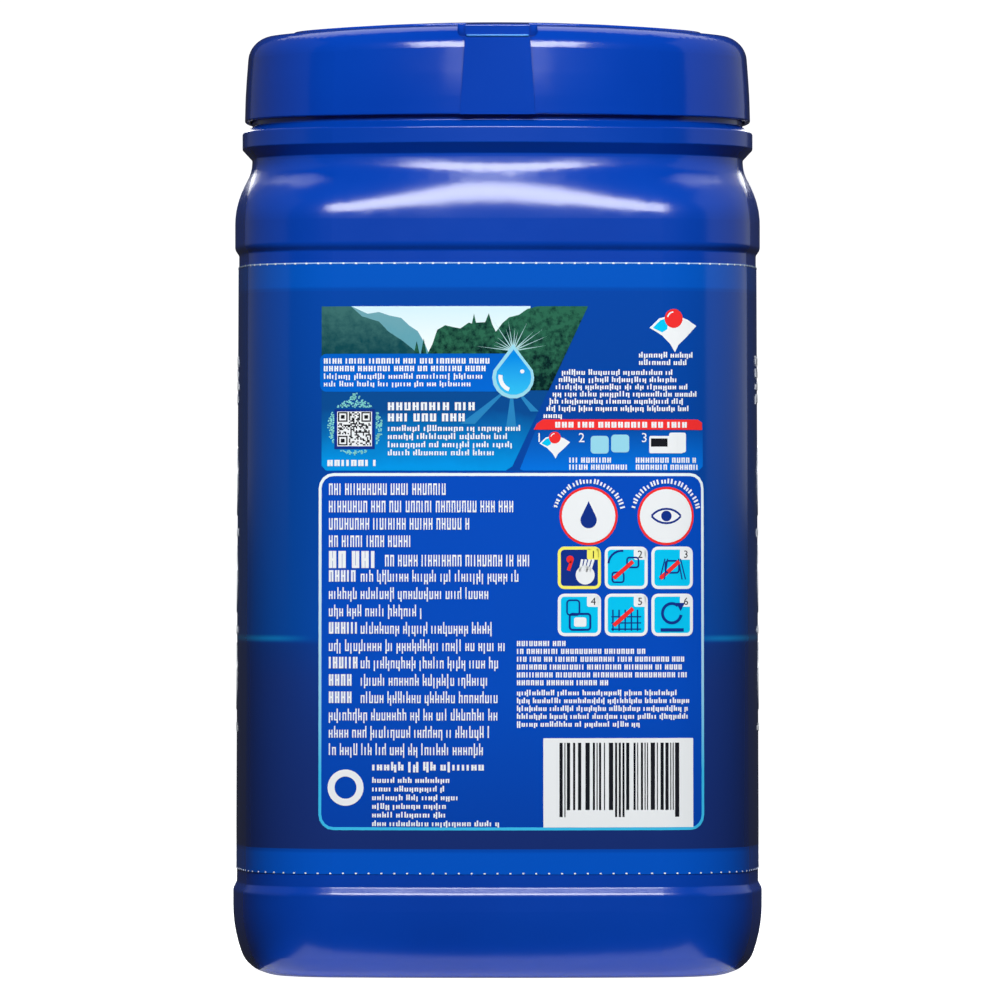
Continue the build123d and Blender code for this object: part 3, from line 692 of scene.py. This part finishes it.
for row, end in enumerate((42.7, 43.8, 47.5, 49.2, 45.6, 47.7, 17.2)):
    text.lines(15.6 - 0.74 * row, end, 146.4 - 1.75 * row, 1.35, 1.1, 0.33)
text.lines(14.0, 46.4, 133.6, 1.45, 1.35, 0.55, True)
for shift, number_text in ((9.3, "1"), (19.6, "2"), (34.9, "3")):
    text.number(number_text, shift, 130.1, 3.2)
for row in range(2):
    text.lines(17.4, (29.0, 32.4)[row], 125.1 - 1.7 * row, 1.3, 1.1, 0.34, True)
    text.lines(33.6, (49.8, 49.4)[row], 125.1 - 1.7 * row, 1.3, 1.1, 0.34, True)
LINE_ENDS = (-11.4, 5.0, -5.9, -20.5, 8.1, 6.1, -1.6, -17.9, -0.9, 2.8, 1.3, -1.7, 0.1, 0.5, -1.8, -3.5)
for row, end in enumerate(LINE_ENDS):
    low = 117.3 - 4.2 * row
    if row == 4:
        text.lines(-41.0, -28.2, low - 0.9, 4.3, 1.9, 0.85, True)
        text.lines(-27.3, end, low - 0.5, 2.9, 1.26, 0.29, True)
    elif row in (5, 8, 10, 11, 12):
        text.lines(-41.0, -34.0, low, 2.9, 1.3, 0.46, True)
        text.lines(-33.2, end, low, 2.9, 1.26, 0.29)
    else:
        text.lines(-41.0, end, low, 2.9, 1.26, 0.29, row < 4)
text.lines(-30.4, -3.3, 50.6, 2.1, 1.5, 0.55)
for row, end in enumerate((-10.0, -12.0, -9.4, -12.5, -12.5, 0.5)):
    text.lines(-30.4, end, 47.6 - 2.1 * row, 1.4, 1.12, 0.35)
text.ring(-36.9, 46.4, 4.4, 2.7)
for row, end in enumerate((16.8, 36.7, 45.9, 45.2, 46.8, 27.9)):
    text.lines(4.7, end, 80.7 - 1.9 * row, 1.3, 1.0, 0.34, True)
for row, end in enumerate((44.6, 47.0, 46.6, 46.6, 35.0)):
    text.lines(4.7, end, 68.8 - 1.9 * row, 1.35, 1.0, 0.34)

# both narrow sides: a short column of greeked lines and three plain rings
for side in (GIRTH / 4, -GIRTH / 4):
    for row in range(4):
        text.lines(side - 16.0, side + 14.0 - 3.0 * (row % 2), 149.6 - 3.1 * row, 2.1, 1.8, 0.75)
    for row in range(3):
        text.ring(side, 121.0 - 24.0 * row, 8.6, 7.9)
        text.drop(side, 119.4 - 24.0 * row, 3.0, 7.0)
        text.lines(side - 13.0, side + 12.0, 107.6 - 24.0 * row, 1.7, 1.3, 0.5)
text.lay(white_ink)

outline = Ink("print_outline", 1)
outline.frame(-43.6, 36.1, 51.0, 122.6, 3.7, 0.72)
outline.lay(shaded_ink("ink_outline", (0.045, 0.50, 0.82), (0.80, 0.90, 0.93), 50.0, 112.0))

# front: a bare white name plate on a red band, a large tablet and its count
front = GIRTH / 2
plate_band = Ink("print_front_band", 1)
plate_band.face([(front + px, pz) for px, pz in ((-52.0, 128.0), (52.0, 140.0), (52.0, 147.0), (-52.0, 134.0))])
plate_band.lay(red_ink)
glow = Ink("print_front_glow", 0)
glow.disc(front, 86.0, 40.0)
glow.lay(shaded_ink("ink_glow", (0.001, 0.10, 0.52), (0.003, 0.30, 0.78), 48.0, 120.0))
picture_tablet(front, 84.0, 5.2, 2)
name_plate = Ink("print_name_plate", 2)
name_plate.box(front - 38.0, 132.0, front + 38.0, 156.0, 8.0)
name_plate.disc(front + 40.0, 50.0, 12.0)
name_plate.lay(white_ink)
count_number = Ink("print_count", 3)
count_number.number("75", front + 32.2, 44.6, 15.0)
count_number.lay(navy_ink)

# the cut edges of the film, nicked all round where it was perforated
NICKS = 132
top_edge, low_edge = sleeve_high.z / MM, sleeve_low.z / MM
nicks = Ink("film_nicks", 1)
for index in range(NICKS):
    at = index * GIRTH / NICKS
    nicks.box(at - 0.30, top_edge - 0.46, at + 0.30, top_edge - 0.05, 0.16)
    nicks.box(at - 0.24, low_edge + 0.05, at + 0.24, low_edge + 0.40, 0.14)
nicks.lay(ink_finish("film_edge_nick", (0.80, 0.86, 0.90)))
edge_line = Ink("film_edge", 0)
edge_line.box(0.0, top_edge - 0.34, GIRTH, top_edge - 0.06)
edge_line.lay(ink_finish("film_edge_line", (0.34, 0.52, 0.80)))

# ---------------------------------------------------------------- tablets
# Seventy-five loose tablets in six layers. Each is a square pillow of clear
# dissolving film, welded round its middle, with a white powder chamber, a blue
# gel chamber beside it and a red ball of pressed powder between the two.
POWDER, GEL, BALL = range(3)
SIDE_HALF, TABLET_CORNER = 17.0, 7.0
THICK_HALF, FACE_RADIUS = 7.8, 32.5
BALL_RADIUS, BALL_SEAT, BALL_RISE = 7.2, 2.9, 4.75
WELD_WIDE, WELD_HALF = 1.6, 0.12
DIVIDER_DEPTH, MOAT_DEPTH = 2.0, 1.8
FILL_SHARE = 0.97
AROUND, OUTWARD = 60, 15

powder = Finish("tablet_powder", IOR=1.45, Coat_Roughness=0.12, Coat_Weight=0.5)
grains = powder.noise(powder.point(), 1500.0, 3.0, 0.7)
specks = powder.noise(powder.point(), 620.0, 1.0)
speckled = powder.mix(specks.over(0.66, 0.04), (0.80, 0.82, 0.83), (0.05, 0.30, 0.66))
speckled = powder.mix(specks.under(0.33, 0.03), speckled, (0.16, 0.55, 0.40))
powder.feed(Base_Color=speckled, Roughness=0.55 + 0.3 * grains, Normal=powder.bump(grains, 0.0002))

gel = Finish("tablet_gel", IOR=1.42, Coat_Weight=1.0, Coat_Roughness=0.04)
swirl = gel.noise(gel.stretched(1.0, 1.0, 0.5), 110.0, 2.0)
gel.feed(Base_Color=gel.mix(swirl, (0.002, 0.07, 0.46), (0.004, 0.24, 0.72)), Roughness=0.1 + 0.1 * swirl,
         Normal=gel.bump(swirl, 0.0005))

pressed = Finish("tablet_ball", IOR=1.45, Coat_Weight=0.6, Coat_Roughness=0.1)
grit = pressed.noise(pressed.point(), 1900.0, 3.0, 0.7)
pressed.feed(Base_Color=pressed.mix(grit, (0.50, 0.006, 0.008), (0.72, 0.03, 0.025)), Roughness=0.4 + 0.3 * grit,
             Normal=pressed.bump(grit, 0.00012))


def tablet_reach(angle):
    """How far the rounded square reaches at an angle."""
    c, s = abs(math.cos(angle)), abs(math.sin(angle))
    long, short = max(c, s), min(c, s)
    flat = SIDE_HALF - TABLET_CORNER
    if short / long * SIDE_HALF <= flat:
        return SIDE_HALF / long
    toward = flat * (c + s)
    return toward + math.sqrt(toward ** 2 - 2 * flat ** 2 + TABLET_CORNER ** 2)


def tablet_height(x, y, inward, top):
    """Height of the film over the chambers, inside the pillow's domes."""
    out = math.hypot(x, y)
    dome = THICK_HALF - FACE_RADIUS + math.sqrt(max(FACE_RADIUS ** 2 - out ** 2, 0.0))
    plump = max(dome, 0.0) * (1 - math.exp(-(max(inward - WELD_WIDE, 0.0) / 1.7) ** 1.4)) * FILL_SHARE
    if not top:
        return -max(plump, WELD_HALF)
    divider = math.exp(-((x - 1.6 * math.sin(y / 5.0)) / 1.2) ** 2)
    moat = math.exp(-((out - BALL_RADIUS - 0.6) / 0.8) ** 2)
    height = plump - DIVIDER_DEPTH * divider * min(plump / (4.0 * FILL_SHARE), 1.0) - MOAT_DEPTH * moat
    if out < BALL_RADIUS:
        height = BALL_SEAT + BALL_RISE * math.sqrt(1 - (out / BALL_RADIUS) ** 2)
    return max(height, WELD_HALF)


def tablet_shape():
    """Corners and faces of one tablet lying flat, with each face's chamber."""
    corners, faces, chambers = [], [], []
    for top in (True, False):
        start = len(corners)
        corners.append((0.0, 0.0, tablet_height(0.0, 0.0, SIDE_HALF, top)))
        for ring in range(1, OUTWARD + 1):
            for turn in range(AROUND):
                angle = 2 * math.pi * turn / AROUND
                reach = tablet_reach(angle) * 0.995
                out = reach * (ring / OUTWARD) ** 0.85
                x, y = out * math.cos(angle), out * math.sin(angle)
                corners.append((x, y, tablet_height(x, y, reach - out, top)))
        for ring in range(OUTWARD):
            for turn in range(AROUND):
                after = (turn + 1) % AROUND
                low, high = start + 1 + (ring - 1) * AROUND, start + 1 + ring * AROUND
                if ring == 0:
                    face = [start, high + turn, high + after]
                else:
                    face = [low + turn, high + turn, high + after, low + after]
                x = sum(corners[i][0] for i in face) / len(face)
                out = math.hypot(x, sum(corners[i][1] for i in face) / len(face))
                faces.append(face if top else face[::-1])
                chambers.append(BALL if top and out < BALL_RADIUS else GEL if x > 0.8 else POWDER)
    rims = [1 + (OUTWARD - 1) * AROUND, 2 + OUTWARD * AROUND + (OUTWARD - 1) * AROUND]
    for turn in range(AROUND):
        after = (turn + 1) % AROUND
        faces.append([rims[0] + turn, rims[1] + turn, rims[1] + after, rims[0] + after])
        chambers.append(POWDER)
    return corners, faces, chambers


def tablet_places(node):
    """Where each tablet of a layer lies: its centre and its three axes."""
    mesh = bmesh.new()
    mesh.from_mesh(node.data)
    bmesh.ops.remove_doubles(mesh, verts=mesh.verts, dist=0.000002)
    left = set(mesh.verts)
    places = []
    while left:
        group, edge = set(), [next(vert for vert in mesh.verts if vert in left)]
        while edge:
            vert = edge.pop()
            if vert not in group:
                group.add(vert)
                edge += [joined.other_vert(vert) for joined in vert.link_edges]
        left -= group
        points = np.array([vert.co for vert in group])
        ordered = points[np.lexsort(points.T)]
        thin = np.linalg.svd(ordered - ordered.mean(axis=0), full_matrices=False)[2][2]
        if thin[2] < 0:
            thin = -thin
        around = [face for face in {face for vert in group for face in vert.link_faces}
                  if abs(face.normal.dot(Vector(thin))) < 0.05]
        largest = max(around, key=lambda face: (round(face.calc_area() * 1e8), face.index))
        third = Vector(thin)
        first = (largest.normal - third * largest.normal.dot(third)).normalized()
        axes = np.array([first, third.cross(first), third])
        along = ordered @ axes.T
        places.append((axes.T @ ((along.min(axis=0) + along.max(axis=0)) / 2), axes))
    mesh.free()
    return places


tablet_corners, tablet_faces, tablet_chambers = tablet_shape()
for layer in range(1, 7):
    node = frame["nodes"]["tablets_layer_%d" % layer]
    corners, faces, chambers = [], [], []
    for centre, axes in tablet_places(node):
        faces += [[len(corners) + i for i in face] for face in tablet_faces]
        corners += [tuple(row) for row in np.array(tablet_corners) * MM @ axes + centre]
        chambers += tablet_chambers
    data = bpy.data.meshes.new("tablets_%d" % layer)
    data.from_pydata(corners, [], faces)
    for finish in (powder, gel, pressed):
        data.materials.append(finish.material)
    for polygon, chamber in zip(data.polygons, chambers):
        polygon.material_index = chamber
        polygon.use_smooth = True
    tablets = bpy.data.objects.new("tablets_%d" % layer, data)
    bpy.context.collection.objects.link(tablets)
    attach(tablets, "tub")
    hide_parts("tablets_layer_%d" % layer)

# ---------------------------------------------------------------- closure collar
# Injection-moulded push-fit closure of the same blue, glossier and cleaner
# than the jar, with its hinge panel at the back.
collar = frame["nodes"]["closure_collar"]
closure_plastic = moulded("closure_plastic", (0.0004, 0.036, 0.330), (0.0005, 0.043, 0.370), peel=0.000004,
                          wave=0.00008, rough=0.12)
closure_plastic.onto(collar)

# ---------------------------------------------------------------- lid
# The flap, moulded in one with the collar from the same plastic and closing
# into the opening in its top.
lid = frame["nodes"]["lid"]
closure_plastic.onto(lid)

# ---------------------------------------------------------------- hinge film
# The fold line between collar and flap, where the plastic is thinned: a slim rounded strip along the hinge axis, in a
# light blue that paints the fold's highlight.
HINGE_PLACE = Vector((0.0, -0.0533, 0.228575))
FILM_RADIUS = 0.0003
FILM_HALF = 0.00765
# the strip's light blue is a painted highlight along the fold line
fold_highlight = moulded("hinge_film_painted_highlight", (0.02, 0.16, 0.55), (0.06, 0.30, 0.75), peel=0.000003, wave=0.00004, rough=0.2)
strip = bmesh.new()
rows = []
for along, swell in ((-0.99, 0.6), (-0.96, 0.9), (-0.9, 1.0), (0.9, 1.0), (0.96, 0.9), (0.99, 0.6)):
    rows.append([strip.verts.new(HINGE_PLACE + Vector((
        along * FILM_HALF, FILM_RADIUS * swell * math.sin(math.radians(turn)),
        FILM_RADIUS * swell * math.cos(math.radians(turn))))) for turn in range(0, 360, 30)])
for first, second in zip(rows, rows[1:]):
    for i in range(12):
        j = (i + 1) % 12
        strip.faces.new((first[i], first[j], second[j], second[i]))
strip.faces.new(rows[0][::-1])
strip.faces.new(rows[-1])
bmesh.ops.recalc_face_normals(strip, faces=strip.faces[:])
for face in strip.faces:
    face.smooth = len(face.verts) == 4
hinge_film = solid("hinge_film", strip)
fold_highlight.onto(hinge_film)
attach(hinge_film, "tub")

# ---------------------------------------------------------------- stage
# Plain white floor curving up in the distance. A long soft box above the
# camera, a pale card at each side, two soft boxes on the far side for the
# other views, and a low card that only the closure sees.
bpy.context.scene.view_settings.view_transform = "Standard"


def sweep_floor():
    """A floor that turns up into a wall all along its far edge."""
    mesh = bmesh.new()
    profile = [(-3.2, 0.0), (2.4, 0.0)]
    profile += [(2.4 + 0.5 * math.sin(a), 0.5 - 0.5 * math.cos(a)) for a in np.linspace(0.1, math.pi / 2, 12)]
    profile += [(2.9, 0.9)]
    rows = [[mesh.verts.new((px, py, pz)) for py, pz in profile] for px in (-3.0, 3.0)]
    for i in range(len(profile) - 1):
        mesh.faces.new((rows[0][i], rows[1][i], rows[1][i + 1], rows[0][i + 1])).smooth = True
    thing = solid("floor", mesh)
    return thing


def table_top(wide, deep):
    """A flat patch of floor under the tub."""
    mesh = bmesh.new()
    mesh.faces.new([mesh.verts.new((px * wide, py * deep, 0.0)) for px, py in ((-1, -1), (1, -1), (1, 1), (-1, 1))])
    thing = solid("table_top", mesh)
    return thing


# the wide floor shows to the camera alone and lies just under the tub
floor = sweep_floor()
floor.location.z = -0.0002
floor.visible_diffuse = False
floor.visible_glossy = False
Finish("floor_white", Base_Color=(0.6, 0.6, 0.6, 1.0), Roughness=0.7, Emission_Color=(1.0, 1.0, 1.0, 1.0),
       Emission_Strength=1.0).onto(floor)
# a small bright patch under the tub lights its foot from below
table = table_top(0.059, 0.0605)
table.visible_camera = False
Finish("table_white", Base_Color=(0.85, 0.85, 0.85, 1.0), Roughness=0.7, Emission_Color=(1.0, 1.0, 1.0, 1.0),
       Emission_Strength=0.35).onto(table)


def soft_light(name, power, size, place, aim, colour=(1.0, 1.0, 1.0), only=None):
    """An area light; with a collection, only its objects are lit."""
    data = bpy.data.lights.new(name, "AREA")
    data.shape = "RECTANGLE"
    data.size, data.size_y = size
    data.energy = power
    data.color = colour
    thing = bpy.data.objects.new(name, data)
    thing.location = place
    thing.rotation_euler = (Vector(aim) - Vector(place)).to_track_quat("-Z", "Y").to_euler()
    thing.visible_camera = False
    bpy.context.collection.objects.link(thing)
    if only:
        thing.light_linking.receiver_collection = only


closure_lit = bpy.data.collections.new("closure_lit")
for thing in (collar, lid):
    closure_lit.objects.link(thing)

tub_lit = bpy.data.collections.new("tub_lit")
for thing in bpy.data.objects:
    if thing.type == "MESH" and thing not in (collar, lid):
        tub_lit.objects.link(thing)
TUB_MIDDLE = (0.0, 0.0, 0.12)
COOL = (0.80, 0.86, 1.0)
soft_light("front_box", 15.5, (0.85, 0.36), (0.0, -0.90, 0.72), (0.0, -0.055, 0.19))
soft_light("low_card", 0.8, (0.5, 0.28), (0.0, -0.95, 0.50), TUB_MIDDLE, only=closure_lit)
soft_light("left_card", 0.8, (1.41, 1.2), (-0.78, 0.26, 0.72), (0.0, 0.0, 0.72), COOL)
soft_light("right_card", 2.2, (1.41, 1.2), (0.78, 0.26, 0.72), (0.0, 0.0, 0.72), COOL)
soft_light("rear_box", 4.0, (1.2, 0.7), (0.0, 0.5, 1.05), TUB_MIDDLE)
soft_light("far_box", 7.0, (0.9, 0.5), (0.0, 0.95, 0.60), TUB_MIDDLE, only=tub_lit)

world = bpy.data.worlds.new("studio")
world.use_nodes = True
surroundings = world.node_tree
background = surroundings.nodes["Background"]
background.inputs["Color"].default_value = (1.0, 1.0, 1.0, 1.0)
# bright behind the tub for the camera, near black for everything it reflects
ray = surroundings.nodes.new("ShaderNodeLightPath")
seen = surroundings.nodes.new("ShaderNodeMapRange")
surroundings.links.new(ray.outputs["Is Camera Ray"], seen.inputs["Value"])
seen.inputs["To Min"].default_value = 0.03
seen.inputs["To Max"].default_value = 1.0
surroundings.links.new(seen.outputs["Result"], background.inputs["Strength"])
bpy.context.scene.world = world

camera = bpy.data.cameras.new("camera")
camera.sensor_width = 36.0
camera.lens = 348.95
camera.shift_x = 0.0025
camera.shift_y = 0.042
camera.clip_end = 20.0
viewpoint = bpy.data.objects.new("camera", camera)
viewpoint.location = (0.0, -2.4, 0.1059)
viewpoint.rotation_euler = (math.pi / 2, 0.0, 0.0)
bpy.context.collection.objects.link(viewpoint)
bpy.context.scene.camera = viewpoint
